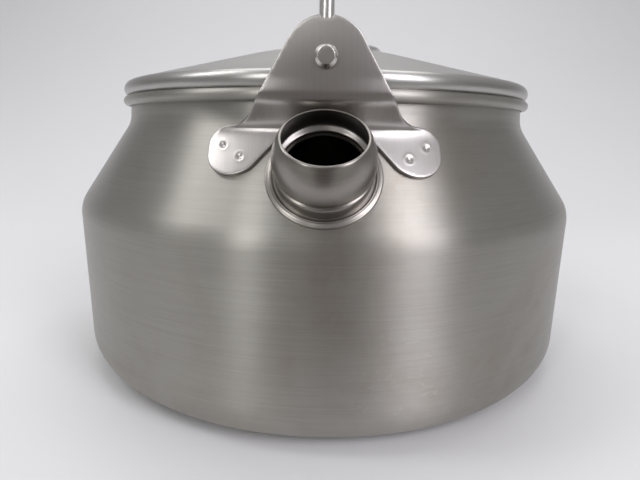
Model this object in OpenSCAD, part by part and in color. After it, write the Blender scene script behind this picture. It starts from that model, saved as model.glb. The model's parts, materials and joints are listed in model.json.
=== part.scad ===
// Stainless camping kettle: drawn body, short spout, wire bail on two brackets, domed lid with a ring.
// Frame: +Z up, origin at the centre of the base, spout toward -Y, millimetres.

/* [Body] */
// Outside radius of the straight wall
body_r = 95; // [92:1:98]
// Thickness of the body sheet
wall = 0.8; // [0.6:0.1:1.0]
// Radius of the corner between base and wall
corner_r = 13; // [8:1:16]
// Height where wall and shoulder would meet as sharp lines
break_z = 59.9; // [59:0.1:61]
// Rounding radius between wall and shoulder
break_r = 12; // [8:1:16]
// Shoulder angle from vertical
cone_a = 33.7; // [33.3:0.1:34.2]
// Outside radius of the neck
neck_r = 76.1; // [75.8:0.1:76.2]
// Rounding radius between shoulder and neck
neck_fillet = 10; // [8:1:11]
// Radius of the curled rim
bead_r = 1.7; // [1.5:0.1:1.7]
// Height of the centre of the curled rim
bead_z = 95.2; // [95:0.1:95.3]

/* [Spout] */
// Radius of the ball that shapes the collar
ball_r = 13; // [12.5:0.1:13.2]
// Thickness of the spout sheet
spout_wall = 0.6; // [0.5:0.1:0.8]
// Elevation of the mouth's axis
mouth_a = 53; // [48:1:58]
// Distance from the ball's centre to the mouth
mouth_d = 7.2; // [6.6:0.1:7.6]
// Elevation of the groove's axis
groove_a = 41.5; // [38:0.5:45]
// Radius of the foot ring on the shoulder
ring_r = 15.1; // [14.6:0.1:15.4]
// Thickness of the foot ring
ring_t = 1.0; // [0.8:0.1:1.2]

/* [Brackets] */
// Thickness of the bracket sheet
bracket_t = 1.2; // [1.0:0.1:1.3]
// Distance from the axis to a bracket's outer face
bracket_y = 83.7; // [83.6:0.1:84.2]
// Radius of the rounded bracket top
bracket_top_r = 10.7; // [10:0.1:11]
// Height of the centre of the rounded top
bracket_top_z = 102.6; // [102.2:0.1:103]
// Slope of the bracket's side edges from vertical
side_a = 29.8; // [29:0.1:31]
// Radius of the two feet
lobe_r = 7.3; // [7:0.1:7.4]
// Half distance between the feet
lobe_x = 23.6; // [23:0.1:24.5]

/* [Handle] */
// Diameter of the handle wire
wire_d = 3.8; // [3.4:0.1:3.8]
// Height of the pivots
pivot_z = 103.5; // [103:0.1:104]
// Height of the middle of the handle wire at its top
bail_top_z = 203; // [195:1:205]
// Bend radius of the handle's corners
bail_bend_r = 40; // [25:1:40]
// Distance from the axis to the middle of each leg
leg_y = 80.4; // [80.4:0.01:80.45]

/* [Lid] */
// Outside radius of the lid
lid_r = 77; // [76.8:0.1:77.2]
// Slope of the lid's flank
lid_a = 15; // [14:0.5:16]
// Radius of the lid's rounded top
cap_r = 135; // [120:5:150]
// Radius of the lid's rolled edge
roll_r = 2.1; // [2:0.1:2.2]
// Height of the middle of the rolled edge
roll_z = 99.1; // [99.1:0.1:99.4]
// Outside radius of the skirt that enters the neck
skirt_r = 74.2; // [73.5:0.1:74.3]
// Height of the skirt's lower edge
skirt_z = 88; // [84:0.5:92]
// Diameter of the lid ring's wire
ring_wire_d = 2.5; // [2.2:0.1:2.6]
// Half width of the lid ring
ring_half = 15; // [13:1:16]
// Length of the lid ring from its hinge line
ring_reach = 21; // [19:1:22]

/* [Hidden] */
$fn = 96;

steel = [0.62, 0.61, 0.58];
dark_steel = [0.52, 0.51, 0.49];
bright_steel = [0.75, 0.74, 0.72];

// Body
break_cz = break_z - break_r * tan(cone_a / 2);
neck_z = break_z + (body_r - neck_r) / tan(cone_a);
neck_cz = neck_z + neck_fillet * tan(cone_a / 2);
mouth_r = neck_r - 0.4;
bead_cr = mouth_r - wall + bead_r;

// Spout: base point on the shoulder, and the ball's centre, as distance in front of the axis and height
foot_z = 75.1;
foot_y = body_r - (foot_z - break_z) * tan(cone_a);
ball_y = 88.9;
ball_z = 79;
belt_s = -1.2;
hole_r = 11.6;
foot_n = 90 - cone_a;

// Bracket
pin_r = 2;
pin_clear = 0.05;
notch_w = 3;
notch_d = 0.9;
joggle_a = 35;
joggle_r = 6;
joggle_z = 95.5;
plate_low = 80;
bracket_waist = (bracket_top_r - (pivot_z - bracket_top_z) * sin(side_a)) / cos(side_a);
fillet_r = 7.5;
fillet_z = 94.4;
lobe_s = 7.8;
cutout_r = 15.8;
flank_a = 50;
flank_length = 8;
foot_corner_r = 5;
foot_corner_s = 10.8;
foot_top_s = 14.1;
weld_r = 0.85;
weld_depth = 0.5;

// Pivots
head_r = 2.9;
head_t = 1.9;
head_edge = 0.7;
head_flat_r = 2.1;
eye_r = 4.5;
eye_t = 2;
washer_r = 3.9;
washer_t = 0.7;
tail_r = 2.9;
tail_t = 0.9;
play = 0.1;
taper_a = 14;
eye_y = bracket_y - bracket_t - play - eye_t;
washer_y = eye_y - play - washer_t;

// Lid
roll_cr = lid_r - roll_r;
flank_d = roll_cr * sin(lid_a) + roll_z * cos(lid_a) + roll_r;
cap_cz = (flank_d - cap_r) / cos(lid_a);
pad_r = 13;
pad_z = cap_cz + sqrt(cap_r * cap_r - pad_r * pad_r);
weld_gap = 0.03;
roll_end = -100;
skirt_flange = 4;
clip_t = 0.9;
clip_w = 12;
clip_half = 11.5;
hinge_gap = 0.15;
hinge_z = pad_z + 0.35 + ring_wire_d / 2;
ring_droop = 2;
ring_bend = 3;

// Points along an arc, in order
function arc(cx, cy, r, a0, a1, n = 12) =
    [for (i = [0:n]) let (a = a0 + (a1 - a0) * i / n) [cx + r * cos(a), cy + r * sin(a)]];

function reversed(points) = [for (i = [len(points) - 1:-1:0]) points[i]];

// Body outline from the middle of the base to the neck, moved inward by d
function body_side(d) = concat(
    [[0, d]],
    arc(body_r - corner_r, corner_r, corner_r - d, -90, 0),
    arc(body_r - break_r, break_cz, break_r - d, 0, cone_a),
    arc(neck_r + neck_fillet, neck_cz, neck_fillet + d, 180 + cone_a, 180)
);

// The same outline with the rim curled outward at its end
function body_path(d) = concat(
    body_side(d),
    arc(bead_cr, bead_z, bead_r - wall + d, 180, -95, 24)
);

// Lid outline from the middle to the end of the curled edge, moved inward by d
function lid_path(d) = concat(
    [[0, pad_z - d]],
    arc(0, cap_cz, cap_r - d, 90 - asin(pad_r / cap_r), 90 - lid_a, 12),
    arc(roll_cr, roll_z, roll_r - d, 90 - lid_a, roll_end, 18)
);

// Side view of the bracket's flat upper part and its joggle, moved inward by d
function bracket_path(d) = concat(
    [[-bracket_y + d, bracket_top_z + bracket_top_r + 1]],
    arc(-bracket_y + joggle_r, joggle_z, joggle_r - d, 180, 180 + joggle_a),
    [[
        -bracket_y + joggle_r - (joggle_r - d) * cos(joggle_a) + 16 * sin(joggle_a),
        joggle_z - (joggle_r - d) * sin(joggle_a) - 16 * cos(joggle_a)
    ]]
);

// Everything inside the body's outline grown by d
module body_solid(d = 0) {
    rotate_extrude()
        polygon(concat(body_side(-d), [[mouth_r + d, bead_z], [0, bead_z]]));
}

// Places its children on the shoulder under the spout, with +Z square to the shoulder and +Y up the slope
module on_shoulder() {
    translate([0, -foot_y, foot_z])
        rotate([foot_n, 0, 0])
            children();
}

// Places its children at the collar's ball, with +Z along an axis that is raised by angle a
module on_ball(a) {
    translate([0, -ball_y, ball_z])
        rotate([90 - a, 0, 0])
            children();
}

module body_shell() {
    color(steel)
        difference() {
            rotate_extrude()
                polygon(concat(body_path(0), reversed(body_path(wall))));
            on_shoulder()
                translate([0, 0, -8])
                    cylinder(r = hole_r, h = 12);
        }
}

module spout_tube() {
    groove_in = ball_r - 1.6;
    band_r = ball_r - 0.3;
    color(steel)
        difference() {
            union() {
                difference() {
                    on_ball(0)
                        sphere(r = ball_r);
                    on_ball(mouth_a)
                        translate([0, 0, mouth_d + 10])
                            cube([40, 40, 20], center = true);
                    on_ball(groove_a)
                        translate([0, 0, belt_s - 15])
                            cube([40, 40, 30], center = true);
                }
                on_ball(groove_a)
                    rotate_extrude()
                        polygon([
                            [0, belt_s], [ball_r - 0.1, belt_s], [ball_r - 0.1, belt_s - 0.5],
                            [groove_in, belt_s - 1.1], [groove_in, belt_s - 2.6],
                            [band_r, belt_s - 3.2], [band_r, -16], [0, -16]
                        ]);
            }
            difference() {
                on_ball(0)
                    sphere(r = ball_r - spout_wall);
                on_ball(groove_a)
                    translate([0, 0, belt_s - 15])
                        cube([40, 40, 30], center = true);
            }
            on_ball(groove_a)
                rotate_extrude()
                    polygon([
                        [0, belt_s + 0.1], [groove_in - spout_wall + 0.8, belt_s + 0.1],
                        [groove_in - spout_wall, belt_s - 0.9], [groove_in - spout_wall, belt_s - 2.8],
                        [band_r - spout_wall, belt_s - 3.6], [band_r - spout_wall, -17], [0, -17]
                    ]);
            body_solid();
        }
}

module spout_foot_ring() {
    color(steel)
        difference() {
            intersection() {
                body_solid(ring_t);
                on_shoulder()
                    translate([0, 0, -4])
                        cylinder(r = ring_r, h = 12);
            }
            body_solid();
            on_ball(groove_a)
                translate([0, 0, -18])
                    cylinder(r = ball_r - 0.3, h = 24);
        }
}

// The shoulder's cone as a solid, grown by d
module cone_solid(d = 0) {
    low = break_z + 2;
    high = 92;
    grow = d / cos(cone_a);
    translate([0, 0, low])
        cylinder(
            r1 = body_r - (low - break_z) * tan(cone_a) + grow,
            r2 = body_r - (high - break_z) * tan(cone_a) + grow,
            h = high - low
        );
}

// Right half of the outline of a bracket's upper part, seen from the front, from its base to its top
function bracket_half() =
    let (fillet_x = bracket_waist + (pivot_z - fillet_z) * tan(side_a) + fillet_r / cos(side_a))
    concat(
        [[fillet_x + 1.5, plate_low], [fillet_x + 1.5, fillet_z - fillet_r]],
        arc(fillet_x, fillet_z, fillet_r, 270, 180 + side_a, 6),
        arc(0, bracket_top_z, bracket_top_r, side_a, 90, 12)
    );

module bracket_front() {
    half = bracket_half();
    polygon(concat(half, [for (p = reversed(half)) [-p[0], p[1]]]));
}

// Outline of one foot, seen square to the shoulder
module bracket_foot() {
    flank_x = lobe_x - lobe_r * sin(flank_a) - flank_length;
    flank_s = lobe_s - lobe_r * cos(flank_a) + flank_length * tan(flank_a);
    polygon(concat(
        arc(lobe_x, lobe_s, lobe_r, 270 - flank_a, 360, 18),
        arc(lobe_x + lobe_r - foot_corner_r, foot_corner_s, foot_corner_r, 0, 90, 12),
        [[flank_x, foot_top_s], [flank_x, flank_s]]
    ));
}

// One bracket: feet that follow the shoulder, a joggle past the rim and an upright plate
module bracket() {
    color(dark_steel)
        difference() {
            union() {
                for (side = [0, 1])
                    mirror([side, 0, 0])
                        intersection() {
                            cone_solid(bracket_t);
                            on_shoulder()
                                translate([0, 0, -8])
                                    linear_extrude(16)
                                        bracket_foot();
                        }
                intersection() {
                    rotate([90, 0, 90])
                        translate([0, 0, -30])
                            linear_extrude(60)
                                polygon(concat(bracket_path(0), reversed(bracket_path(bracket_t))));
                    translate([0, -70, 0])
                        rotate([90, 0, 0])
                            linear_extrude(20)
                                bracket_front();
                }
            }
            cone_solid();
            on_shoulder()
                translate([0, 0, -9])
                    cylinder(r = cutout_r, h = 18);
            translate([0, -bracket_y + 4, pivot_z])
                rotate([90, 0, 0])
                    cylinder(r = pin_r + pin_clear, h = 8);
            translate([-notch_w / 2, -bracket_y - 1, bracket_top_z + bracket_top_r - notch_d])
                cube([notch_w, 5, 5]);
            on_shoulder()
                for (side = [-1, 1], spot = [[3.1, 2], [-1.7, -2.2]])
                    weld_mark([side * (lobe_x + spot[0]), lobe_s + spot[1]]);
        }
}

// A spot weld's dimple at a place on the shoulder, sunk into the bracket's foot
module weld_mark(place) {
    away = sqrt(foot_y * foot_y - place[0] * place[0]) - foot_y;
    translate([place[0], place[1], away * cos(cone_a) + bracket_t - weld_depth])
        cylinder(r = weld_r, h = 2);
}

module front_bracket() {
    bracket();
}

module rear_bracket() {
    rotate([0, 0, 180])
        bracket();
}

// A rivet with a chamfered head outside the bracket and a clenched tail inside the handle's eye
module pivot_rivet() {
    head_y = bracket_y + head_t;
    color(bright_steel)
        translate([0, 0, pivot_z])
            rotate([90, 0, 0])
                rotate_extrude()
                    polygon([
                        [0, washer_y - tail_t], [tail_r - 0.4, washer_y - tail_t],
                        [tail_r, washer_y - tail_t / 2], [tail_r - 0.2, washer_y], [pin_r, washer_y],
                        [pin_r, bracket_y], [head_r, bracket_y], [head_r, bracket_y + head_edge],
                        [head_flat_r, head_y], [0, head_y]
                    ]);
}

module front_pivot_rivet() {
    pivot_rivet();
}

module rear_pivot_rivet() {
    rotate([0, 0, 180])
        pivot_rivet();
}

module pivot_washer() {
    color(bright_steel)
        translate([0, -washer_y, pivot_z])
            rotate([90, 0, 0])
                difference() {
                    cylinder(r = washer_r, h = washer_t);
                    translate([0, 0, -1])
                        cylinder(r = pin_r + pin_clear, h = washer_t + 2);
                }
}

module front_pivot_washer() {
    pivot_washer();
}

module rear_pivot_washer() {
    rotate([0, 0, 180])
        pivot_washer();
}

// Half of the handle: flattened eye, leg, corner and half of the top
module bail_half() {
    leg_top = bail_top_z - bail_bend_r;
    leg_foot = pivot_z + eye_r - 1.5;
    difference() {
        union() {
            translate([0, -leg_y, leg_foot])
                cylinder(d = wire_d, h = leg_top - leg_foot);
            translate([0, -eye_y, pivot_z])
                rotate([90, 0, 0])
                    cylinder(r = eye_r, h = eye_t);
        }
        translate([-5, -eye_y - 0.2, pivot_z + 4.1])
            rotate([-taper_a, 0, 0])
                translate([0, 0, -3])
                    cube([10, 6, 10]);
        translate([0, -leg_y + 5, pivot_z])
            rotate([90, 0, 0])
                cylinder(r = pin_r + 0.08, h = 10);
    }
    translate([0, -leg_y + bail_bend_r, leg_top])
        rotate([90, 0, 90])
            rotate([0, 0, 90])
                rotate_extrude(angle = 90)
                    translate([bail_bend_r, 0])
                        circle(d = wire_d);
    translate([0, -leg_y + bail_bend_r, bail_top_z])
        rotate([-90, 0, 0])
            cylinder(d = wire_d, h = leg_y - bail_bend_r);
}

module bail_handle() {
    color(bright_steel) {
        bail_half();
        rotate([0, 0, 180])
            bail_half();
    }
}

module lid_dome() {
    color(steel)
        rotate_extrude()
            polygon(concat(lid_path(0), reversed(lid_path(wall))));
}

// Point at radius r on the lid's flank, moved inward by d
function on_flank(r, d) = [r, (flank_d - d - r * sin(lid_a)) / cos(lid_a)];

// Ring welded under the lid, with a flange that follows the flank
module lid_skirt() {
    under = wall + weld_gap;
    flange_r = skirt_r - skirt_flange;
    color(dark_steel)
        rotate_extrude()
            polygon([
                on_flank(flange_r, under), on_flank(skirt_r, under),
                [skirt_r, skirt_z], [skirt_r - wall, skirt_z],
                on_flank(skirt_r - wall, under + wall), on_flank(flange_r, under + wall)
            ]);
}

// Strap over the ring's hinge bar
module lid_ring_clip() {
    in_r = ring_wire_d / 2 + hinge_gap;
    out_r = in_r + clip_t;
    color(dark_steel)
        translate([0, clip_w / 2, 0])
            rotate([90, 0, 0])
                linear_extrude(clip_w)
                    difference() {
                        union() {
                            translate([0, hinge_z])
                                circle(r = out_r);
                            translate([-out_r, pad_z + weld_gap])
                                square([2 * out_r, hinge_z - pad_z]);
                            translate([-clip_half, pad_z + weld_gap])
                                square([2 * clip_half, clip_t]);
                        }
                        translate([0, hinge_z])
                            circle(r = in_r);
                        translate([-in_r, pad_z - 3])
                            square([2 * in_r, hinge_z - pad_z + 3]);
                        translate([-out_r, pad_z - 3 + weld_gap])
                            square([2 * out_r, 3]);
                    }
}

module ring_bend_piece(r, angle) {
    rotate_extrude(angle = angle)
        translate([r, 0])
            circle(d = ring_wire_d);
}

// D-shaped wire ring that lies on the dome, hinged on its straight bar
module lid_ring() {
    flat = ring_half - ring_bend;
    side = ring_reach - ring_half - ring_bend;
    color(bright_steel)
        translate([0, 0, hinge_z])
            rotate([0, ring_droop, 0]) {
                translate([0, flat, 0])
                    rotate([90, 0, 0])
                        cylinder(d = ring_wire_d, h = 2 * flat);
                for (end = [0, 1])
                    mirror([0, end, 0]) {
                        translate([ring_bend, flat, 0])
                            rotate([0, 0, 90])
                                ring_bend_piece(ring_bend, 90);
                        translate([ring_bend, ring_half, 0])
                            rotate([0, 90, 0])
                                cylinder(d = ring_wire_d, h = side);
                    }
                translate([ring_bend + side, 0, 0])
                    rotate([0, 0, -90])
                        ring_bend_piece(ring_half, 180);
            }
}

body_shell();
spout_tube();
spout_foot_ring();
front_bracket();
rear_bracket();
front_pivot_rivet();
rear_pivot_rivet();
front_pivot_washer();
rear_pivot_washer();
bail_handle();
lid_dome();
lid_skirt();
lid_ring_clip();
lid_ring();
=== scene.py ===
"""A stainless camping kettle on a pale studio sweep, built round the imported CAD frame.

Shapes are worked out in millimetres and go into Blender in metres.
"""
import json
import math

import bmesh
import bpy
import numpy as np
from mathutils import Matrix, Vector
from mathutils.geometry import delaunay_2d_cdt


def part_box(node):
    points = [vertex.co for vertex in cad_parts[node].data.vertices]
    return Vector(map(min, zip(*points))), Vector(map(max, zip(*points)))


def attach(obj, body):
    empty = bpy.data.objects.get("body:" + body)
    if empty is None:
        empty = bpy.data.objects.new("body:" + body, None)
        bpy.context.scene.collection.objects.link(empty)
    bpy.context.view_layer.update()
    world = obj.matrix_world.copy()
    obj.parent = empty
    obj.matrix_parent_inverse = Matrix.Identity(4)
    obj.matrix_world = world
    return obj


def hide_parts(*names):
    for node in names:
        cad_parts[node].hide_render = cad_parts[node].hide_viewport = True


MM = 0.001
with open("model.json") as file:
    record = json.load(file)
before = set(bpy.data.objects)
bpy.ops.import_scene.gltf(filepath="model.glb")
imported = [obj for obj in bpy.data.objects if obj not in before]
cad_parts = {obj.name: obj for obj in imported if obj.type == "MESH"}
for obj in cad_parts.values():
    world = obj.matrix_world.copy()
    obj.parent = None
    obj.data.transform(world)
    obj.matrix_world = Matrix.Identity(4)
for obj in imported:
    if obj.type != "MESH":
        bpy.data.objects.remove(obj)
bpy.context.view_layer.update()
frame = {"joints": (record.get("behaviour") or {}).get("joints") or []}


# ---------------------------------------------------------------- sizes, in millimetres

def box_mm(node):
    lo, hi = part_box(node)
    return np.array(lo) / MM, np.array(hi) / MM


def joint_mm(name):
    found = next(j for j in frame["joints"] if j["name"] == name)
    return np.array(found["pos_m"]) / MM


BODY_R = box_mm("body_shell")[1][0]
RIM_TOP = box_mm("body_shell")[1][2]
WALL = 0.8
CORNER_R = 13.0
BREAK_R = 12.0
BREAK_Z = 59.9
CONE = math.radians(33.7)
NECK_R = 76.1
NECK_FILLET = 10.0
BEAD_R = 1.7
BEAD_Z = RIM_TOP - BEAD_R
BEAD_CR = NECK_R - 0.4 - WALL + BEAD_R

SPOUT_C = np.array([0.0, -88.9, 79.0])
BALL_R = 13.0
SPOUT_WALL = 0.6
MOUTH_TILT = 53.0
MOUTH_D = 7.2
GROOVE_TILT = 41.5
GROOVE_R = BALL_R - 1.6
BAND_R = BALL_R - 0.3
FOOT_Z = 75.1
FOOT = np.array([0.0, (FOOT_Z - BREAK_Z) * math.tan(CONE) - BODY_R, FOOT_Z])
BELT_ALONG = -1.2
RING_R = 15.1
HOLE_R = 11.6

PLATE_Y = 83.7
PLATE_TOP = box_mm("front_bracket")[1][2]
BRACKET_T = 1.2
TOP_R = 10.7
TOP_Z = PLATE_TOP - TOP_R
SIDE = math.radians(29.8)
FILLET_R = 7.5
FILLET_Z = 94.4
JOGGLE = math.radians(35)
JOGGLE_R = 6.0
JOGGLE_Z = 95.5
CREASE_Z = 86.6
CREASE_BLEND = 1.8
LOBE_X = 23.6
LOBE_S = 7.8
LOBE_R = 7.3
FLANK = 50.0
FOOT_CORNER_R = 5.0
FOOT_CORNER_S = 10.8
CUTOUT_R = 15.8
NOTCH_HALF = 1.5
NOTCH_D = 0.9

PIVOT_Z = joint_mm("handle_hinge")[2]
PIN_R = 2.0
WIRE_R = 1.9
EYE_R = 4.5
EYE_T = 2.0
EYE_FACE = box_mm("bail_handle")[1][1]
BAIL_TOP = box_mm("bail_handle")[1][2] - WIRE_R
BAIL_BEND = 40.0
EYE_BLEND = 0.9
EYE_CLEARANCE = 0.08

LID_R = box_mm("lid_dome")[1][0]
LID_TOP = box_mm("lid_dome")[1][2]
LID_SLOPE = 15.0
CAP_R = 135.0
ROLL_R = 2.1
ROLL_Z = 99.1
SKIRT_R = box_mm("lid_skirt")[1][0]
SKIRT_Z = box_mm("lid_skirt")[0][2]
RING_HINGE_Z = joint_mm("lid_ring_hinge")[2]
RING_WIRE_R = 1.25
RING_BEND = 3.0
RING_REACH = 21.0
RING_DROOP = math.radians(2)


# ---------------------------------------------------------------- outlines

def arc(cx, cy, r, start, end, step=4.0):
    """Points along an arc, with angles in degrees and about step degrees from point to point."""
    count = max(3, int(abs(end - start) / step) + 2)
    turn = np.radians(np.linspace(start, end, count))
    return np.stack([cx + r * np.cos(turn), cy + r * np.sin(turn)], 1)


def joined(*parts):
    """One line from points and arcs, without doubled points."""
    points = np.concatenate([np.atleast_2d(np.array(p, float)) for p in parts])
    keep = np.r_[True, np.linalg.norm(np.diff(points, axis=0), axis=1) > 1e-6]
    return points[keep]


def divided(points, longest):
    """The same line with its long stretches divided."""
    made = [points[:1]]
    for a, b in zip(points[:-1], points[1:]):
        count = max(1, math.ceil(np.linalg.norm(b - a) / longest))
        made.append(a + (b - a) * (np.arange(1, count + 1) / count)[:, None])
    return np.concatenate(made)


def right_of(points, closed=False):
    """Unit normals on the right-hand side of a line's direction."""
    if closed:
        along = np.roll(points, -1, 0) - np.roll(points, 1, 0)
    else:
        along = np.gradient(points, axis=0)
    along = along / np.maximum(np.linalg.norm(along, axis=1), 1e-12)[:, None]
    return np.stack([along[:, 1], -along[:, 0]], 1)


def end_cap(at, normal, forward, thickness):
    """The half circle that rounds the cut end of a sheet."""
    turns = np.radians(np.arange(20, 161, 20))
    middle = at - normal * thickness / 2
    return np.stack([
        middle + thickness / 2 * (normal * math.cos(t) + forward * math.sin(t)) for t in turns
    ])


def walled(line, thickness, open_start=False):
    """Closed outline of a sheet whose face is the line and whose other face lies to its left."""
    normal = right_of(line)
    if not open_start:
        normal[0] = [0, math.copysign(1, normal[0][1])]
    back = line - normal * thickness
    ahead = (line[-1] - line[-2]) / np.linalg.norm(line[-1] - line[-2])
    parts = [line, end_cap(line[-1], normal[-1], ahead, thickness), back[::-1]]
    if open_start:
        behind = (line[0] - line[1]) / np.linalg.norm(line[0] - line[1])
        parts.append(end_cap(line[0], normal[0], behind, thickness)[::-1])
    return joined(*parts)


# ---------------------------------------------------------------- mesh makers

def new_mesh(name, verts, faces, uv=None, sharp=38):
    """An object from points in millimetres. uv holds one (across, along) pair in metres per face corner."""
    mesh = bpy.data.meshes.new(name)
    mesh.from_pydata((np.asarray(verts) * MM).tolist(), [], faces)
    if uv is not None:
        mesh.uv_layers.new(name="brush").data.foreach_set("uv", np.asarray(uv, np.float32).ravel())
    mesh.validate()
    mesh.polygons.foreach_set("use_smooth", np.ones(len(mesh.polygons), bool))
    mesh.set_sharp_from_angle(angle=math.radians(sharp))
    made = bpy.data.objects.new(name, mesh)
    bpy.context.scene.collection.objects.link(made)
    return made


def grid_faces(rows, columns, close_rows, close_columns):
    """Quads of a grid of points, with each corner's row and column counted on past a closed edge."""
    i = np.arange(rows if close_rows else rows - 1)
    j = np.arange(columns if close_columns else columns - 1)
    i, j = [k.ravel() for k in np.meshgrid(i, j, indexing="ij")]
    corner_rows = np.stack([i, i + 1, i + 1, i], 1)
    corner_columns = np.stack([j, j, j + 1, j + 1], 1)
    return corner_rows, corner_columns


def lengths_along(points, closed):
    """Distance along a line of points, with one more value past the end of a closed one."""
    loop = np.concatenate([points, points[:1]]) if closed else points
    return np.r_[0, np.cumsum(np.linalg.norm(np.diff(loop, axis=0), axis=1))]


def grid_object(name, points, close_rows=False, close_columns=True, across_rows=True, sharp=38):
    """An object from a grid of points. The brush marks run along the columns, or along the rows."""
    rows, columns = points.shape[:2]
    corner_rows, corner_columns = grid_faces(rows, columns, close_rows, close_columns)
    ids = (corner_rows % rows) * columns + corner_columns % columns
    down = lengths_along(points[:, 0], close_rows)[corner_rows] * MM
    round_ = lengths_along(points[rows // 2], close_columns)[corner_columns] * MM
    uv = np.stack([down, round_] if across_rows else [round_, down], -1)
    return new_mesh(name, points.reshape(-1, 3), ids.tolist(), uv.reshape(-1, 2), sharp)


def lathe(name, outline, segments=240, closed=True, axis_y=None, sharp=38):
    """Turns a closed (radius, height) outline round Z, or round a line along -Y through height axis_y."""
    turn = np.linspace(0, 2 * math.pi, segments, endpoint=False)
    r, h = outline[:, :1], outline[:, 1:]
    x, y, z = r * np.sin(turn), -r * np.cos(turn), h + 0 * turn
    points = np.stack([x, y, z], -1)
    if axis_y is not None:
        points = np.stack([x, -z, y + axis_y], -1)
    return welded(grid_object(name, points, close_rows=closed, sharp=sharp))


def welded(made, distance=1e-7):
    """Joins doubled points, such as those of a lathe's poles, and makes the faces look outward."""
    work = bmesh.new()
    work.from_mesh(made.data)
    bmesh.ops.remove_doubles(work, verts=work.verts, dist=distance)
    bmesh.ops.dissolve_degenerate(work, dist=distance, edges=work.edges)
    bmesh.ops.recalc_face_normals(work, faces=work.faces)
    work.to_mesh(made.data)
    work.free()
    return made


def inside(points, loop):
    """Which 2-D points lie inside a closed loop."""
    x, y = points[:, 0][:, None], points[:, 1][:, None]
    a, b = loop, np.roll(loop, -1, 0)
    crosses = (a[:, 1] > y) != (b[:, 1] > y)
    with np.errstate(divide="ignore", invalid="ignore"):
        at = (b[:, 0] - a[:, 0]) * (y - a[:, 1]) / (b[:, 1] - a[:, 1]) + a[:, 0]
    return (crosses & (x < at)).sum(1) % 2 == 1


def filled(loops, spacing):
    """Triangles inside the first loop and outside the others, with extra points on a grid."""
    lo, hi = loops[0].min(0), loops[0].max(0)
    gx = np.arange(lo[0], hi[0], spacing)
    gy = np.arange(lo[1], hi[1], spacing * math.sqrt(3) / 2)
    grid = np.stack(np.meshgrid(gx, gy, indexing="ij"), -1)
    grid[:, 1::2, 0] += spacing / 2
    grid = grid.reshape(-1, 2)
    keep = inside(grid, loops[0])
    for hole in loops[1:]:
        keep &= ~inside(grid, hole)
    edge_points = np.concatenate(loops)
    for start in range(0, len(edge_points), 64):
        near = edge_points[start:start + 64]
        keep &= (np.linalg.norm(grid[:, None] - near, axis=2) > spacing * 0.6).all(1)
    points = np.concatenate([edge_points, grid[keep]])
    edges, first = [], 0
    for loop in loops:
        count = len(loop)
        edges += [(first + k, first + (k + 1) % count) for k in range(count)]
        first += count
    result = delaunay_2d_cdt([Vector(p) for p in points], edges, [], 0, 1e-6, True)
    made = np.array([[v.x, v.y] for v in result[0]])
    triangles = np.array(result[2])
    middles = made[triangles].mean(1)
    good = inside(middles, loops[0])
    for hole in loops[1:]:
        good &= ~inside(middles, hole)
    return made, triangles[good], len(edge_points)


def sheet(name, loops, place, thickness, edge=0.25, spacing=0.55, along=(0, 1)):
    """A sheet with rounded cut edges. loops are its outline, anticlockwise, and its holes, clockwise.
    place(points, depth) puts 2-D points on the sheet, depth below its outer face."""
    normals = [right_of(loop, closed=True) for loop in loops]
    flat_loops = [loop - n * edge for loop, n in zip(loops, normals)]
    points, triangles, rim = filled(flat_loops, spacing)
    count = len(points)
    verts = [place(points, 0.0), place(points, thickness)]
    faces = triangles.tolist() + (triangles[:, ::-1] + count).tolist()
    flat = [points, points]
    bends = np.radians([30, 60, 90])
    steps = [(math.sin(a), edge * (1 - math.cos(a))) for a in bends]
    steps += [(s, thickness - d) for s, d in steps[::-1]]
    made, first = 2 * count, 0
    for loop, n, base in zip(loops, normals, flat_loops):
        size = len(loop)
        rings = [np.arange(first, first + size)]
        for share, depth in steps:
            ring = base + n * edge * share
            verts.append(place(ring, depth))
            flat.append(ring)
            rings.append(np.arange(made, made + size))
            made += size
        rings.append(np.arange(count + first, count + first + size))
        for a, b in zip(rings[:-1], rings[1:]):
            faces += np.stack([a, np.roll(a, -1), np.roll(b, -1), b], 1)[:, ::-1].tolist()
        first += size
    flat = np.concatenate(flat)
    across = np.array([along[1], -along[0]], float)
    corners = flat[np.concatenate([np.array(f) for f in faces])]
    uv = np.stack([corners @ across, corners @ np.array(along, float)], 1) * MM
    return welded(new_mesh(name, np.concatenate(verts), faces, uv, sharp=55))


def swept(centres, sides, ups, half_w, half_t, power, around=28):
    """A bar along a line, with a rounded section half_w wide and half_t thick. power 2 is an ellipse."""
    turn = np.linspace(0, 2 * math.pi, around, endpoint=False)
    c, s = np.cos(turn), np.sin(turn)
    p = 2 / np.asarray(power)[:, None]
    w = np.sign(c) * np.abs(c) ** p * np.asarray(half_w)[:, None]
    t = np.sign(s) * np.abs(s) ** p * np.asarray(half_t)[:, None]
    return centres[:, None] + w[..., None] * sides[:, None] + t[..., None] * ups[:, None]


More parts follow.
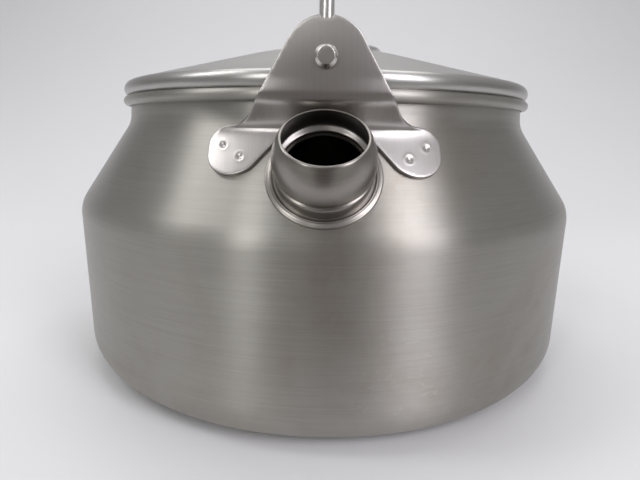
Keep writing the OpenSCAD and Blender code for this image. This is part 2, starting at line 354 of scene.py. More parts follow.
def bored(piece, radius, start, end):
    """Cuts a round hole along a line through a piece."""
    start, end = Vector(start) * MM, Vector(end) * MM
    work = bmesh.new()
    bmesh.ops.create_cone(
        work, cap_ends=True, segments=96, radius1=radius * MM, radius2=radius * MM,
        depth=(end - start).length)
    turned = (end - start).to_track_quat("Z", "Y").to_matrix().to_4x4()
    work.transform(Matrix.Translation((start + end) / 2) @ turned)
    tool_mesh = bpy.data.meshes.new("tool")
    work.to_mesh(tool_mesh)
    work.free()
    tool = bpy.data.objects.new("tool", tool_mesh)
    bpy.context.scene.collection.objects.link(tool)
    cut = piece.modifiers.new("hole", "BOOLEAN")
    cut.object, cut.operation, cut.solver = tool, "DIFFERENCE", "EXACT"
    bpy.context.view_layer.update()
    evaluated = piece.evaluated_get(bpy.context.evaluated_depsgraph_get())
    mesh = bpy.data.meshes.new_from_object(evaluated)
    piece.modifiers.clear()
    piece.data = mesh
    bpy.data.objects.remove(tool)
    mesh.set_sharp_from_angle(angle=math.radians(38))
    return piece


# ---------------------------------------------------------------- body

BREAK_CZ = BREAK_Z - BREAK_R * math.tan(CONE / 2)
NECK_Z = BREAK_Z + (BODY_R - NECK_R) / math.tan(CONE)
NECK_CZ = NECK_Z + NECK_FILLET * math.tan(CONE / 2)
CONE_DEG = math.degrees(CONE)


def make_body():
    line = joined(
        [[0, 0]],
        arc(BODY_R - CORNER_R, CORNER_R, CORNER_R, -90, 0, 3),
        arc(BODY_R - BREAK_R, BREAK_CZ, BREAK_R, 0, CONE_DEG, 2),
        arc(NECK_R + NECK_FILLET, NECK_CZ, NECK_FILLET, 180 + CONE_DEG, 180, 2),
        arc(BEAD_CR, BEAD_Z, BEAD_R - WALL, 180, -95, 9))
    body = lathe("body", walled(divided(line, 1.6), WALL), segments=360)
    normal = np.array([0, -math.cos(CONE), math.sin(CONE)])
    return bored(body, HOLE_R, FOOT - normal * 8, FOOT + normal * 5)


def cone_r(z, grow=0.0):
    """Radius of the shoulder at height z, with the shoulder grown by grow."""
    return BODY_R - (z - BREAK_Z) * math.tan(CONE) + grow / math.cos(CONE)


def on_shoulder(points, height):
    """Puts 2-D points of the plane that touches the shoulder under the spout on to the shoulder itself,
    height above it. The second coordinate runs up the slope."""
    points = np.asarray(points, float)
    x, s = points[:, 0], points[:, 1]
    normal = np.array([0, -math.cos(CONE), math.sin(CONE)])
    slope = np.array([0, math.sin(CONE), math.cos(CONE)])
    start = FOOT + np.outer(x, [1, 0, 0]) + np.outer(s, slope)
    drop = np.zeros(len(points))
    for _ in range(12):
        at = start + drop[:, None] * normal
        off = np.hypot(at[:, 0], at[:, 1]) - cone_r(at[:, 2])
        drop = drop - off * math.cos(CONE)
    at = start + drop[:, None] * normal
    round_ = np.hypot(at[:, 0], at[:, 1])
    outward = np.stack([
        at[:, 0] / round_ * math.cos(CONE), at[:, 1] / round_ * math.cos(CONE),
        np.full(len(at), math.sin(CONE))], 1)
    return at + outward * np.asarray(height)[..., None]


# ---------------------------------------------------------------- spout

def spout_ring(tilt, along, radius, turn):
    """A ring of points round the spout's axis, tilt degrees above level and along from the ball's centre."""
    a = math.radians(tilt)
    axis = np.array([0, -math.cos(a), math.sin(a)])
    up = np.array([0, math.sin(a), math.cos(a)])
    side = np.array([1.0, 0, 0])
    return (SPOUT_C + axis * along + radius * (
        np.outer(np.cos(turn), side) + np.outer(np.sin(turn), up)))


def ball_station(share, radius):
    """Tilt, place and radius of a ring on a ball between the belt, share 0, and the mouth, share 1."""
    along = BELT_ALONG + (MOUTH_D - BELT_ALONG) * share
    tilt = GROOVE_TILT + (MOUTH_TILT - GROOVE_TILT) * share
    return tilt, along, math.sqrt(radius ** 2 - along ** 2)


def make_spout():
    turn = np.linspace(0, 2 * math.pi, 200, endpoint=False)
    g, w = GROOVE_TILT, SPOUT_WALL
    inner = BALL_R - w
    outside = [
        (g, -4.3, BAND_R - 0.05), (g, -3.55, BAND_R - 0.05), (g, -3.35, BAND_R - 0.12),
        (g, -3.2, BAND_R - 0.35), (g, -2.95, GROOVE_R + 0.35), (g, -2.75, GROOVE_R + 0.12),
        (g, -2.5, GROOVE_R), (g, -1.95, GROOVE_R), (g, -1.75, GROOVE_R + 0.1),
        (g, -1.6, GROOVE_R + 0.35), (g, -1.5, BALL_R - 0.75), (g, -1.42, BALL_R - 0.4),
        (g, -1.3, BALL_R - 0.2), (g, -1.12, BALL_R - 0.08)]
    outside += [ball_station(s, BALL_R) for s in np.linspace(0.06, 0.985, 26)]
    mouth_r = ball_station(1, BALL_R)[2]
    lip = [(MOUTH_TILT, MOUTH_D - 0.04, mouth_r - 0.06), (MOUTH_TILT, MOUTH_D, mouth_r - 0.18),
           (MOUTH_TILT, MOUTH_D, mouth_r - w + 0.15), (MOUTH_TILT, MOUTH_D - 0.05, mouth_r - w + 0.04)]
    within = [ball_station(s, inner) for s in np.linspace(0.97, 0.06, 24)]
    ridge = GROOVE_R - w
    within += [
        (g, -1.15, inner - 0.15), (g, -1.4, inner - 0.5), (g, -1.6, ridge + 0.5), (g, -1.8, ridge + 0.15),
        (g, -2.0, ridge), (g, -2.5, ridge), (g, -2.7, ridge + 0.15), (g, -2.95, ridge + 0.5),
        (g, -3.2, BAND_R - w - 0.3), (g, -3.5, BAND_R - w - 0.05), (g, -4.3, BAND_R - w)]
    rings = [spout_ring(*station, turn) for station in outside + lip + within]
    rings.insert(0, dropped(rings[0]))
    rings.append(dropped(rings[-1]))
    spout = welded(grid_object("spout", np.array(rings), close_rows=True))
    # Painted shade for the inside of the spout, which the spout's material darkens its colour with.
    paint(spout, "shade", spout_shade)
    return spout


def spout_shade(points):
    """Painted shade: up to 1 on the spout's inner face, most on the slope of its ridge, almost none on its
    crest, and 0 outside. It dulls the ring of light that plain steel shows there."""
    a = math.radians(GROOVE_TILT)
    from_ball = points - SPOUT_C
    along = from_ball @ np.array([0, -math.cos(a), math.sin(a)])
    away = np.linalg.norm(from_ball, axis=1)
    radius = np.sqrt(np.maximum(away ** 2 - along ** 2, 0))
    middle = BALL_R - np.interp(along, [-3.5, -3.2, -2.95, -2.5, -1.8, -1.6, -1.45, -1.3],
                                [0.65, 0.9, 1.5, 1.9, 1.85, 1.5, 0.95, 0.5])
    inner = np.where(along > -1.3, away < BALL_R - SPOUT_WALL * 0.7, radius < middle)
    slope = np.exp(-((along + 1.45) / 0.35) ** 2)
    crest = np.exp(-((along + 2.2) / 0.3) ** 2)
    return inner * np.clip(0.25 + 0.75 * slope - 0.25 * crest, 0, 1)


def paint(piece, name, rule):
    """Stores a number for each point of a piece, worked out from its place in millimetres."""
    points = np.array([v.co for v in piece.data.vertices]) / MM
    layer = piece.data.attributes.new(name, "FLOAT", "POINT")
    layer.data.foreach_set("value", rule(points).astype(np.float32))


def dropped(ring):
    """A ring of the spout moved down its axis until it meets the shoulder."""
    a = math.radians(GROOVE_TILT)
    down = np.array([0, math.cos(a), -math.sin(a)])
    reach = np.zeros(len(ring))
    for _ in range(20):
        at = ring + reach[:, None] * down
        reach = reach + (np.hypot(at[:, 0], at[:, 1]) - cone_r(at[:, 2], 0.02)) * 0.9
    return ring + reach[:, None] * down


def make_foot_ring():
    """The spout's flange: a flat outer edge, a fine bead and a step down to the tube."""
    section = [
        (RING_R, 0.02), (RING_R, 0.4), (RING_R - 0.06, 0.56), (RING_R - 0.2, 0.66), (RING_R - 0.4, 0.7),
        (13.95, 0.72), (13.82, 0.8), (13.7, 0.93), (13.52, 0.98), (13.34, 0.93), (13.2, 0.78),
        (13.1, 0.62), (12.95, 0.56), (12.45, 0.56), (12.45, 0.02)]
    turn = np.linspace(0, 2 * math.pi, 240, endpoint=False)
    rings = [
        on_shoulder(np.stack([r * np.cos(turn), r * np.sin(turn)], 1), np.full(len(turn), h))
        for r, h in section]
    return welded(grid_object("spout_flange", np.array(rings), close_rows=True))


# ---------------------------------------------------------------- brackets

def joggle_line():
    """Outer face of a bracket seen from the side, as distance from the axis against height."""
    bend = arc(PLATE_Y - JOGGLE_R, JOGGLE_Z, JOGGLE_R, 0, -math.degrees(JOGGLE), 3)
    foot = bend[-1] + 16 * np.array([-math.sin(JOGGLE), -math.cos(JOGGLE)])
    return joined([[PLATE_Y, PLATE_TOP + 1]], bend, [foot])


JOGGLE_LINE = joggle_line()


def smooth_step(x, start, end):
    t = np.clip((x - start) / (end - start), 0, 1)
    return t * t * (3 - 2 * t)


def bracket_face(x, z):
    """Distance in front of the axis of a bracket's outer face: flat above, on the shoulder below."""
    line = JOGGLE_LINE[::-1]
    middle = np.interp(z, line[:, 1], line[:, 0])
    r = cone_r(z, BRACKET_T)
    shoulder = np.sqrt(r * r - x * x)
    sag = middle - np.sqrt(middle * middle - x * x)
    upper = middle - sag * (1 - smooth_step(z, CREASE_Z, JOGGLE_Z + 3))
    return (upper + shoulder + np.hypot(upper - shoulder, CREASE_BLEND)) / 2 - 0.12


WELDS = [(3.1, 2.0), (-1.7, -2.2)]


def to_front(points):
    """(x, z) of points of the shoulder's plane, on a bracket's outer face."""
    at = on_shoulder(points, np.full(len(points), BRACKET_T))
    return at[:, [0, 2]]


def weld_places():
    spots = [(side * (LOBE_X + a), LOBE_S + b) for side in (-1, 1) for a, b in WELDS]
    return to_front(np.array(spots))


WELD_AT = weld_places()
WELD_R = 0.95


def bracket_place(points, depth):
    """Points of the front view put on a bracket, depth below its outer face, with weld dimples."""
    x, z = points[:, 0], points[:, 1]
    h = 0.02
    y = bracket_face(x, z)
    dx = (bracket_face(x + h, z) - bracket_face(x - h, z)) / (2 * h)
    dz = (bracket_face(x, z + h) - bracket_face(x, z - h)) / (2 * h)
    normal = np.stack([-dx, -np.ones_like(dx), -dz], 1)
    normal /= np.linalg.norm(normal, axis=1)[:, None]
    dent = np.zeros(len(points))
    for n, spot in enumerate(WELD_AT):
        away = np.hypot(x - spot[0], (z - spot[1]) * 1.15) / WELD_R
        pit = 0.42 * (1 - smooth_step(away, 0.25, 1.0))
        ring = 0.07 * np.exp(-((away - 1.25) / 0.28) ** 2)
        nib = 0.12 * np.exp(-((away - 0.1 * n) / 0.3) ** 2)
        dent += pit - ring - nib
    pillow = 0.0035 * x ** 2 * smooth_step(z, 93, 99) + 0.0022 * np.maximum(z - 101, 0) ** 2
    depth = depth + (dent + pillow) * (1 - depth / BRACKET_T)
    return np.stack([x, -y, z], 1) - normal * np.asarray(depth)[:, None]


def bracket_outline():
    """A bracket from the front: its right half, from the arch over the spout to the top, and its mirror."""
    lobe = arc(LOBE_X, LOBE_S, LOBE_R, 270 - FLANK, 360, 5)
    corner = arc(LOBE_X + LOBE_R - FOOT_CORNER_R, FOOT_CORNER_S, FOOT_CORNER_R, 0, 82, 6)
    reach = np.linspace(0, 8, 400)
    flank = lobe[0] + np.stack([-reach, reach * math.tan(math.radians(FLANK))], 1)
    meets = flank[np.argmin(np.abs(np.hypot(flank[:, 0], flank[:, 1]) - CUTOUT_R))]
    arch = arc(0, 0, CUTOUT_R, 90, math.degrees(math.atan2(meets[1], meets[0])), 4)
    low = to_front(divided(joined(arch, lobe, corner), 0.6))
    side = math.degrees(SIDE)
    waist = (TOP_R - (PIVOT_Z - TOP_Z) * math.sin(SIDE)) / math.cos(SIDE)
    fillet_x = waist + (PIVOT_Z - FILLET_Z) * math.tan(SIDE) + FILLET_R / math.cos(SIDE)
    fillet = arc(fillet_x, FILLET_Z, FILLET_R, 262, 180 + side, 5)
    notch_edge = math.degrees(math.acos((NOTCH_HALF + 0.3) / TOP_R))
    top = arc(0, TOP_Z, TOP_R, side, notch_edge, 3)
    notch = [[NOTCH_HALF, top[-1][1] - 0.3], [NOTCH_HALF, PLATE_TOP - NOTCH_D + 0.25],
             [NOTCH_HALF - 0.3, PLATE_TOP - NOTCH_D], [0, PLATE_TOP - NOTCH_D]]
    half = divided(joined(low, fillet, top, notch), 0.7)
    left = half[::-1] * [-1, 1]
    return joined(half, left[1:-1])


def make_bracket(name):
    hole = arc(0, PIVOT_Z, PIN_R + 0.05, 360, 0, 10)[:-1]
    piece = sheet(name, [bracket_outline(), hole], bracket_place, BRACKET_T - 0.02)
    paint(piece, "heat", weld_heat)
    return piece


def weld_heat(points):
    away = np.min([np.hypot(points[:, 0] - x, points[:, 2] - z) for x, z in WELD_AT], axis=0)
    return np.exp(-((away - 0.6) / 0.8) ** 2)


def turned_back(piece, name):
    """A copy of a front piece turned half a turn, for the back."""
    mesh = piece.data.copy()
    mesh.transform(Matrix.Rotation(math.pi, 4, "Z"))
    made = bpy.data.objects.new(name, mesh)
    bpy.context.scene.collection.objects.link(made)
    return made


# ---------------------------------------------------------------- pivots

def make_rivet():
    """A rivet along its axis, from the clenched tail inside to the chamfered head outside."""
    tail = -box_mm("front_pivot_rivet")[1][1]
    head = -box_mm("front_pivot_rivet")[0][1]
    head_r = box_mm("front_pivot_rivet")[1][0]
    face = PLATE_Y
    washer = tail + 0.9
    outline = joined(
        [[0, tail]], arc(2.3, tail + 0.5, 0.5, -90, 0, 15), [[2.85, washer - 0.1], [2.7, washer]],
        [[PIN_R, washer], [PIN_R, face], [head_r - 0.08, face], [head_r, face + 0.08]],
        arc(head_r - 0.3, face + 0.6, 0.3, 0, 50, 10),
        arc(1.95, head - 0.3, 0.3, 50, 90, 10), [[1.1, head - 0.01], [0, head]])
    return lathe("pivot_rivet_front", outline, 96, closed=False, axis_y=PIVOT_Z, sharp=30)


def make_washer():
    lo, hi = box_mm("front_pivot_washer")
    outer = hi[0]
    inner, near, far = PIN_R + 0.05, -hi[1], -lo[1]
    b = 0.12
    outline = joined([
        [inner, near + b], [inner + b, near], [outer - b, near], [outer, near + b],
        [outer, far - b], [outer - b, far], [inner + b, far], [inner, far - b]])
    return lathe("pivot_washer_front", outline, 80, axis_y=PIVOT_Z)


# ---------------------------------------------------------------- handle

def make_bail():
    """The wire handle: one bar from eye to eye, round along the wire and flattened at the eyes."""
    leg_y = EYE_FACE - 0.1 - WIRE_R
    eye_y = EYE_FACE - EYE_T / 2
    bend_y, bend_z = leg_y - BAIL_BEND, BAIL_TOP - BAIL_BEND
    low = PIVOT_Z - EYE_R * np.cos(np.radians(np.linspace(2, 90, 16)))
    high = np.linspace(PIVOT_Z, PIVOT_Z + 12, 40)[1:]
    straight = np.linspace(PIVOT_Z + 12, bend_z, 20)[1:-1]
    z = np.r_[low, high, straight]
    share = smooth_step(z, PIVOT_Z + 3.2, PIVOT_Z + 9)
    y = eye_y + (leg_y - eye_y) * share
    disc = np.sqrt(np.maximum(EYE_R ** 2 - (z - PIVOT_Z) ** 2, 0.05))
    blended = (disc + WIRE_R + np.hypot(disc - WIRE_R, EYE_BLEND)) / 2
    excess = (EYE_R + WIRE_R + math.hypot(EYE_R - WIRE_R, EYE_BLEND)) / 2 - EYE_R
    half_w = np.where(z < PIVOT_Z, disc, blended - excess * (z < PIVOT_Z + 3))
    half_w = np.where(z > PIVOT_Z + EYE_R + 3, WIRE_R, half_w)
    half_t = EYE_T / 2 + (WIRE_R - EYE_T / 2) * share
    power = 7 - 5 * share
    turn = np.radians(np.linspace(0, 90, 24))
    by = np.r_[y, bend_y + BAIL_BEND * np.cos(turn)]
    bz = np.r_[z, bend_z + BAIL_BEND * np.sin(turn)]
    up_y = np.r_[np.ones(len(z)), np.cos(turn)]
    up_z = np.r_[np.zeros(len(z)), np.sin(turn)]
    top = np.linspace(bend_y, 0, 12)[1:]
    by, bz = np.r_[by, top], np.r_[bz, np.full(len(top), BAIL_TOP)]
    up_y, up_z = np.r_[up_y, np.zeros(len(top))], np.r_[up_z, np.ones(len(top))]
    plain_wire = np.full(len(turn) + len(top), WIRE_R)
    half_w, half_t = np.r_[half_w, plain_wire], np.r_[half_t, plain_wire]
    power = np.r_[power, np.full(len(plain_wire), 2.0)]
    front = np.stack([0 * by, -by, bz], 1)
    ups = np.stack([0 * up_y, -up_y, up_z], 1)
    back = front[::-1][1:] * [1, -1, 1]
    ups_back = ups[::-1][1:] * [1, -1, 1]
    centres = np.concatenate([front, back])
    ups = np.concatenate([ups, ups_back])
    doubled = [np.r_[v, v[::-1][1:]] for v in (half_w, half_t, power)]
    sides = np.tile([1.0, 0, 0], (len(centres), 1))
    points = swept(centres, sides, ups, *doubled)
    ends = [np.tile(points[k].mean(0), (points.shape[1], 1))[None] for k in (0, -1)]
    points = np.concatenate([ends[0], points, ends[1]])
    bail = welded(grid_object("bail", points, across_rows=False, sharp=50))
    for side in (-1, 1):
        bored(bail, PIN_R + EYE_CLEARANCE,
              (0, side * (leg_y - 5), PIVOT_Z), (0, side * (leg_y + 5), PIVOT_Z))
    return bail


# ---------------------------------------------------------------- lid

ROLL_CR = LID_R - ROLL_R
SLOPE_SIN, SLOPE_COS = math.sin(math.radians(LID_SLOPE)), math.cos(math.radians(LID_SLOPE))
FLANK_D = ROLL_CR * SLOPE_SIN + ROLL_Z * SLOPE_COS + ROLL_R
CAP_CZ = (FLANK_D - CAP_R) / SLOPE_COS
PAD_R = 13.0


def make_dome():
    """The lid's dome and roll. The line is the CAD dome's outer face, and walled() lays the wall outside
    it, so the piece stands WALL past lid_dome all round."""
    pad_tilt = math.degrees(math.asin(PAD_R / CAP_R))
    line = joined(
        [[0, LID_TOP]],
        arc(0, CAP_CZ, CAP_R, 90 - pad_tilt, 90 - LID_SLOPE, 0.5),
        arc(ROLL_CR, ROLL_Z, ROLL_R, 90 - LID_SLOPE, -100, 6))
    return lathe("lid_dome_shell", walled(divided(line, 1.6), WALL), segments=360)


def make_skirt():
    """The ring that centres the lid. Like the dome, it stands WALL past its CAD node."""
    bend = 1.2
    flange = [
        [r, (FLANK_D - WALL - 0.03 - r * SLOPE_SIN) / SLOPE_COS] for r in (SKIRT_R - 4, SKIRT_R - bend)]
    corner = arc(SKIRT_R - bend, flange[-1][1] - bend, bend, 75, 0, 15)
    line = joined(flange, corner, [[SKIRT_R, SKIRT_Z + WALL / 2]])
    return lathe("lid_inner_skirt", walled(divided(line, 2.0), WALL, open_start=True), segments=240)


def make_clip():
    """The strap over the ring's hinge bar, with rounded feet and edges."""
    lo, hi = box_mm("lid_ring_clip")
    thick, out_r = 0.9, hi[2] - RING_HINGE_Z
    in_r = out_r - thick
    foot_z = lo[2]
    half = hi[0]
    hump = arc(0, RING_HINGE_Z, out_r, 180, 0, 8)
    inner = arc(0, RING_HINGE_Z, in_r, 0, 180, 8)
    f = 0.35
    outline = joined(
        [[-half, foot_z], [-half, foot_z + thick - 0.2], [-half + 0.2, foot_z + thick]],
        arc(-out_r - f, foot_z + thick + f, f, 270, 360, 30), hump,
        arc(out_r + f, foot_z + thick + f, f, 180, 270, 30),
        [[half - 0.2, foot_z + thick], [half, foot_z + thick - 0.2], [half, foot_z], [in_r, foot_z]],
        inner, [[-in_r, foot_z]])
    points = []
    width = hi[1]
    for y, shrink in ((-width, 0.2), (-width + 0.06, 0.06), (-width + 0.2, 0.0),
                      (width - 0.2, 0.0), (width - 0.06, 0.06), (width, 0.2)):
        inset = outline + right_of(outline, closed=True) * shrink
        points.append(np.stack([inset[:, 0], np.full(len(inset), y), inset[:, 1]], 1))
    clip = grid_object("ring_clip", np.array(points), across_rows=False)
    work = bmesh.new()
    work.from_mesh(clip.data)
    rims = [e for e in work.edges if e.is_boundary]
    bmesh.ops.contextual_create(work, geom=[e for e in rims if e.verts[0].co.y < 0])
    bmesh.ops.contextual_create(work, geom=[e for e in rims if e.verts[0].co.y > 0])
    bmesh.ops.triangulate(work, faces=[f for f in work.faces if len(f.verts) > 4])
    bmesh.ops.recalc_face_normals(work, faces=work.faces)
    work.to_mesh(clip.data)
    work.free()
    return clip


def make_lid_ring():
    """The folding ring: a straight hinge bar, two tight bends, short sides and a half round."""
    half = box_mm("lid_ring")[1][1] - RING_WIRE_R
    quarter = arc(RING_BEND, half - RING_BEND, RING_BEND, 180, 90, 10)
    round_end = arc(RING_REACH - half, 0, half, 90, -90, 4)
    line = divided(joined([[0, 0]], quarter, round_end, quarter[::-1] * [1, -1]), 1.0)
    ahead = np.roll(line, -1, 0) - np.roll(line, 1, 0)
    ahead /= np.linalg.norm(ahead, axis=1)[:, None]
    side = np.stack([ahead[:, 1], -ahead[:, 0]], 1)

    def laid(v):
        return np.stack([v[:, 0] * math.cos(RING_DROOP), v[:, 1], -v[:, 0] * math.sin(RING_DROOP)], 1)

    centres = laid(line) + [0, 0, RING_HINGE_Z]
    ups = np.tile([math.sin(RING_DROOP), 0, math.cos(RING_DROOP)], (len(line), 1))
    width = np.full(len(line), RING_WIRE_R)
    points = swept(centres, laid(side), ups, width, width, width * 0 + 2, 24)
    return welded(grid_object("lid_ring_wire", points, close_rows=True, across_rows=False))


# ---------------------------------------------------------------- materials

class Tree:
    """A node tree, with short calls for the nodes that the steels and the world share."""

    def __init__(self, owner):
        owner.use_nodes = True
        self.nodes = owner.node_tree.nodes
        self.links = owner.node_tree.links

    def add(self, kind, inputs=None, **settings):
        node = self.nodes.new(kind)
        for key, value in settings.items():
            setattr(node, key, value)
        for key, value in (inputs or {}).items():
            self.feed(node.inputs[key], value)
        return node

    def feed(self, socket, value):
        if isinstance(value, bpy.types.NodeSocket):
            self.links.new(value, socket)
        else:
            socket.default_value = value

    def math(self, operation, *values, clamp=False):
        node = self.add("ShaderNodeMath", operation=operation, use_clamp=clamp)
        for socket, value in zip(node.inputs, values):
            self.feed(socket, value)
        return node.outputs[0]

    def noise(self, vector, scale, detail=3.0, roughness=0.55, distortion=0.0):
        node = self.add("ShaderNodeTexNoise", {
            "Vector": vector, "Scale": scale, "Detail": detail, "Roughness": roughness,
            "Distortion": distortion})
        return node.outputs["Fac"]

    def between(self, value, low, high, to_low=0.0, to_high=1.0, shape="LINEAR"):
        node = self.add("ShaderNodeMapRange", {
            "Value": value, "From Min": low, "From Max": high, "To Min": to_low, "To Max": to_high,
        }, interpolation_type=shape)
        return node.outputs["Result"]

    def mixed(self, factor, first, second):
        node = self.add("ShaderNodeMix", {"Factor": factor}, data_type="RGBA")
        for socket, given in ((node.inputs["A"], first), (node.inputs["B"], second)):
            self.feed(socket, given if isinstance(given, bpy.types.NodeSocket) else (*given, 1))
        return node.outputs[2]

    def place(self):
        return self.add("ShaderNodeTexCoord").outputs["Object"]

    def brush_grain(self, slow, fast):
        """Coordinates that change slowly along the brush marks and fast across them."""
        across = self.add("ShaderNodeSeparateXYZ", {0: self.add(
            "ShaderNodeUVMap", uv_map="brush").outputs[0]}).outputs["X"]
        stretched = self.add("ShaderNodeVectorMath", {0: self.place(), "Scale": slow}, operation="SCALE")
        shift = self.add("ShaderNodeCombineXYZ", {"Z": self.math("MULTIPLY", across, fast)})
        return self.add("ShaderNodeVectorMath", {
            0: stretched.outputs[0], 1: shift.outputs[0]}, operation="ADD").outputs[0]


def new_material(name):
    """A material, its tree and its Principled shader's sockets."""
    material = bpy.data.materials.new(name)
    tree = Tree(material)
    return material, tree, tree.nodes["Principled BSDF"].inputs


SCRATCH = (0.62, 0.61, 0.59)
PIT = (0.14, 0.12, 0.10)
HEAT_TINT = (0.26, 0.17, 0.10)
# Colour of the painted shade on the spout's inner face.
SPOUT_SHADE_COLOUR = (0.24, 0.23, 0.225)
RELIEF = 0.00003


def brushed_steel(name, light, dark, rough, aniso, mark=0.06, bump=0.14, slow=26.0, fast=2200.0,
                  stain=None, pits=True, heat=False, shade=False):
    """Worn brushed stainless steel: streaks, smudges, fine scratches and pits over an anisotropic metal."""
    material, s, skin = new_material(name)
    streaks = s.noise(s.brush_grain(slow, fast), 1.0, 5.0, 0.62)
    hairs = s.noise(s.brush_grain(slow * 3, fast * 3), 1.0, 3.0, 0.6)
    smudge = s.noise(s.place(), 22.0, 3.0, 0.55, 0.6)
    tone = s.math("ADD", s.math("MULTIPLY", streaks, 0.35), s.math("MULTIPLY", hairs, 0.25))
    tone = s.math("ADD", tone, s.math("MULTIPLY", smudge, 0.40))
    colour = s.mixed(s.between(tone, 0.36, 0.64), dark, light)
    if stain:
        patch = s.noise(s.place(), 13.0, 4.0, 0.6, 1.2)
        speck = s.noise(s.place(), 160.0, 3.0, 0.7)
        amount = s.math("MULTIPLY", s.between(patch, 0.47, 0.75), s.between(speck, 0.35, 0.75, 0.35, 1.0))
        colour = s.mixed(s.math("MULTIPLY", amount, 0.6), colour, stain)
    lines = s.math("ABSOLUTE", s.math("SUBTRACT", s.noise(s.brush_grain(55.0, 240.0), 1.0, 1.0), 0.5))
    scratch = s.math("MULTIPLY", s.between(lines, 0.0, 0.006, 1.0, 0.0),
                     s.between(s.noise(s.place(), 30.0, 1.0), 0.52, 0.7))
    colour = s.mixed(s.math("MULTIPLY", scratch, 0.22), colour, SCRATCH)
    height = s.math("ADD", s.math("MULTIPLY", streaks, 0.5), s.math("MULTIPLY", hairs, 0.5))
    if pits:
        cells = s.add("ShaderNodeTexVoronoi", {"Vector": s.place(), "Scale": 260.0})
        chosen = s.between(s.add("ShaderNodeSeparateColor", {0: cells.outputs["Color"]}).outputs[0],
                           0.955, 0.965)
        pit = s.math("MULTIPLY", s.between(cells.outputs["Distance"], 0.03, 0.08, 1.0, 0.0), chosen)
        colour = s.mixed(s.math("MULTIPLY", pit, 0.45), colour, PIT)
        height = s.math("SUBTRACT", height, s.math("MULTIPLY", pit, 0.6))
    if heat:
        warm = s.add("ShaderNodeAttribute", attribute_name="heat").outputs["Fac"]
        grit = s.between(s.noise(s.place(), 900.0, 2.0), 0.3, 0.7, 0.35, 1.0)
        colour = s.mixed(s.math("MULTIPLY", warm, grit, clamp=True), colour, HEAT_TINT)
    # Painted shade: the shade attribute darkens the colour towards a dark grey on the spout's inner face.
    if shade:
        painted_shade = s.add("ShaderNodeAttribute", attribute_name="shade").outputs["Fac"]
        colour = s.mixed(s.math("MULTIPLY", painted_shade, 0.6, clamp=True), colour, SPOUT_SHADE_COLOUR)
    spread = s.math("ADD", s.math("MULTIPLY", streaks, mark), s.math("MULTIPLY", smudge, mark))
    s.feed(skin["Base Color"], colour)
    s.feed(skin["Roughness"], s.math("ADD", spread, rough - mark))
    skin["Metallic"].default_value = 1.0
    skin["Anisotropic"].default_value = aniso
    s.feed(skin["Tangent"], s.add("ShaderNodeTangent", direction_type="UV_MAP", uv_map="brush").outputs[0])
    relief = s.add("ShaderNodeBump", {"Height": height, "Strength": bump, "Distance": RELIEF})
    s.feed(skin["Normal"], relief.outputs[0])
    return material


def studio_paper(name, colour):
    """Pale matt sweep with a faint mottle."""
    material, s, skin = new_material(name)
    mottle = s.noise(s.place(), 9.0, 4.0, 0.5)
    darker = tuple(c * 0.985 for c in colour)
    s.feed(skin["Base Color"], s.mixed(mottle, darker, colour))
    s.feed(skin["Roughness"], s.between(mottle, 0.3, 0.7, 0.55, 0.65))
    return material


# ---------------------------------------------------------------- stage, light and camera

TABLE_EDGE = -0.15
SWEEP_START = 0.27
SWEEP_R = 1.1
FLOOR_HALF = 2.5
PAPER = (0.74, 0.74, 0.752)


def make_sweep():
    """A floor that curves up into a wall behind the kettle. Sizes are in metres."""
    turn = np.radians(np.linspace(0, 80, 40))
    y = np.r_[TABLE_EDGE, -0.05, 0.1, SWEEP_START + SWEEP_R * np.sin(turn)]
    z = np.r_[0, 0, 0, SWEEP_R * (1 - np.cos(turn))]
    width = np.linspace(-FLOOR_HALF, FLOOR_HALF, 9)
    points = np.array([[[x, a, b] for x in width] for a, b in zip(y, z)]) / MM
    sweep = grid_object("sweep", points, close_columns=False)
    sweep.data.materials.append(studio_paper("paper", PAPER))

    # The floor in front is left out of reflections, because the steel has to see a dim room there.
    near = np.array([[[x, y, 0.0] for x in width] for y in (-FLOOR_HALF, -1.0, TABLE_EDGE)]) / MM
    near_floor = grid_object("near_floor", near, close_columns=False)
    near_floor.data.materials.append(sweep.data.materials[0])
    near_floor.visible_glossy = False


def area_light(name, at, towards, width, height, power, colour=(1, 1, 1)):
    data = bpy.data.lights.new(name, "AREA")
    data.shape, data.size, data.size_y = "RECTANGLE", width, height
    data.energy, data.color = power, colour
    light = bpy.data.objects.new(name, data)
    bpy.context.scene.collection.objects.link(light)
    light.location = at
    light.rotation_euler = (Vector(towards) - Vector(at)).to_track_quat("-Z", "Y").to_euler()


ROOM_FLOOR = (0.46, 0.455, 0.45)
ROOM_LOW = (0.26, 0.255, 0.25)
ROOM_HIGH = (0.55, 0.55, 0.56)
ROOM_FRONT = (0.165, 0.15, 0.142)
BACKDROP = (0.66, 0.66, 0.69, 1)
WINDOW_AWAY = 1.1
KETTLE_MIDDLE = Vector((0, 0, 0.06))


def window_light(name, turn, rise, width, height, power, colour=(1, 1, 1)):
    """An area light turn degrees round from the front and rise degrees up, that faces the kettle."""
    turn, rise = math.radians(turn), math.radians(rise)
    way = Vector((math.sin(turn) * math.cos(rise), -math.cos(turn) * math.cos(rise), math.sin(rise)))
    area_light(name, KETTLE_MIDDLE + way * WINDOW_AWAY, KETTLE_MIDDLE, width, height, power, colour)


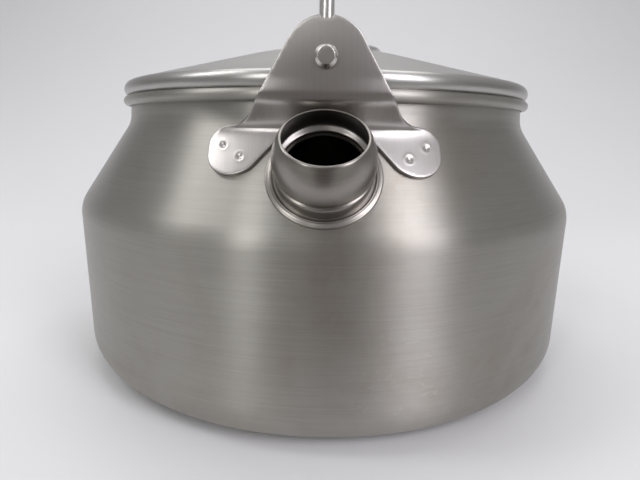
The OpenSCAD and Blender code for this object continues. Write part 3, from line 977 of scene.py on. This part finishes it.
def make_world():
    """Pale to the camera; the steel sees a soft grey room, brighter above and dim on the viewer's side."""
    world = bpy.data.worlds.new("studio")
    bpy.context.scene.world = world
    s = Tree(world)
    direction = s.add("ShaderNodeTexCoord").outputs["Generated"]
    x, y, z = s.add("ShaderNodeSeparateXYZ", {0: direction}).outputs

    def ramp(given, low, high):
        return s.between(given, low, high, shape="SMOOTHSTEP")

    room = s.mixed(ramp(z, -0.2, 0.0), ROOM_FLOOR, s.mixed(ramp(z, 0.0, 1.0), ROOM_LOW, ROOM_HIGH))
    toward_front = s.math("MAXIMUM", s.math("MULTIPLY", y, -1.0), 0.01)
    sideways = s.math("DIVIDE", s.math("ABSOLUTE", x), toward_front)
    sideways = s.math("ADD", sideways, s.math("MULTIPLY", s.math("GREATER_THAN", y, 0.0), 10.0))
    open_side = s.math("MAXIMUM", ramp(sideways, 0.18, 0.62), ramp(z, 0.10, 0.30))
    background = s.nodes["Background"]
    s.feed(background.inputs["Color"], s.mixed(open_side, ROOM_FRONT, room))
    seen = s.add("ShaderNodeBackground", {"Color": BACKDROP})
    mix = s.add("ShaderNodeMixShader", {
        0: s.add("ShaderNodeLightPath").outputs["Is Camera Ray"],
        1: background.outputs[0], 2: seen.outputs[0]})
    s.feed(s.nodes["World Output"].inputs["Surface"], mix.outputs[0])


CAMERA_AT = (0.0, -0.20406, 0.08626)
CAMERA_TURN = [math.radians(angle) for angle in (13.32, 0.88, 0.382)]


def make_camera():
    """Looks down a little at the spout, with a slight roll and yaw."""
    data = bpy.data.cameras.new("camera")
    data.lens, data.sensor_width, data.clip_start = 26.30, 36.0, 0.005
    camera = bpy.data.objects.new("camera", data)
    bpy.context.scene.collection.objects.link(camera)
    down, roll, yaw = CAMERA_TURN
    turned = (Matrix.Rotation(yaw, 4, "Z") @ Matrix.Rotation(math.pi / 2 - down, 4, "X")
              @ Matrix.Rotation(roll, 4, "Z"))
    camera.matrix_world = Matrix.Translation(CAMERA_AT) @ turned
    bpy.context.scene.camera = camera


# ---------------------------------------------------------------- the kettle

body_steel = brushed_steel(
    "satin_body", (0.44, 0.425, 0.395), (0.35, 0.337, 0.31), 0.44, 0.9, bump=0.2, stain=(0.27, 0.21, 0.15))
lid_steel = brushed_steel("satin_lid", (0.465, 0.455, 0.44), (0.41, 0.40, 0.386), 0.33, 0.5)
spout_steel = brushed_steel(
    "spout_steel", (0.32, 0.30, 0.277), (0.26, 0.243, 0.222), 0.30, 0.4, fast=3000.0, shade=True)
bracket_steel = brushed_steel(
    "bracket_steel", (0.50, 0.48, 0.465), (0.42, 0.40, 0.385), 0.30, 0.55, slow=60.0, fast=3000.0,
    bump=0.2, heat=True)
rivet_steel = brushed_steel("rivet_steel", (0.68, 0.665, 0.64), (0.57, 0.555, 0.53), 0.26, 0.2, fast=3000.0)
wire_steel = brushed_steel(
    "bright_wire", (0.82, 0.81, 0.80), (0.74, 0.73, 0.72), 0.24, 0.3, mark=0.05, bump=0.08, pits=False)


def finish_piece(piece, body, slot, material, node):
    piece.data.materials.clear()
    piece.data.materials.append(material)
    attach(piece, body)
    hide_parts(node)


make_sweep()
make_world()
make_camera()
finish_piece(make_body(), "kettle", "satin_body", body_steel, "body_shell")
finish_piece(make_spout(), "kettle", "spout_steel", spout_steel, "spout_tube")
finish_piece(make_foot_ring(), "kettle", "spout_steel", spout_steel, "spout_foot_ring")
front_parts = [
    (make_bracket("bracket_front"), "bracket_back", "bracket_steel", bracket_steel, "bracket"),
    (make_rivet(), "pivot_rivet_back", "rivet_steel", rivet_steel, "pivot_rivet"),
    (make_washer(), "pivot_washer_back", "rivet_steel", rivet_steel, "pivot_washer"),
]
for piece, back_name, slot, material, node in front_parts:
    back = turned_back(piece, back_name)
    finish_piece(piece, "kettle", slot, material, "front_" + node)
    finish_piece(back, "kettle", slot, material, "rear_" + node)
finish_piece(make_bail(), "handle", "bright_wire", wire_steel, "bail_handle")
finish_piece(make_dome(), "lid", "satin_lid", lid_steel, "lid_dome")
finish_piece(make_skirt(), "lid", "satin_lid", lid_steel, "lid_skirt")
finish_piece(make_clip(), "lid", "bracket_steel", rivet_steel, "lid_ring_clip")
finish_piece(make_lid_ring(), "lid_ring", "bright_wire", wire_steel, "lid_ring")

area_light("overhead", (0.0, 0.45, 1.3), (0, 0.25, 0), 1.3, 0.8, 6.3)
window_light("right_window", 41.5, 31, 0.36, 0.80, 4.9, colour=(1.0, 0.98, 1.05))
window_light("left_pane", -32, 24, 0.17, 0.55, 1.7)
window_light("left_far_pane", -80, 48, 0.20, 0.50, 2.1)
window_light("front_glint", -10, 24, 0.12, 0.22, 0.25)
bpy.context.scene.view_settings.view_transform = "Standard"
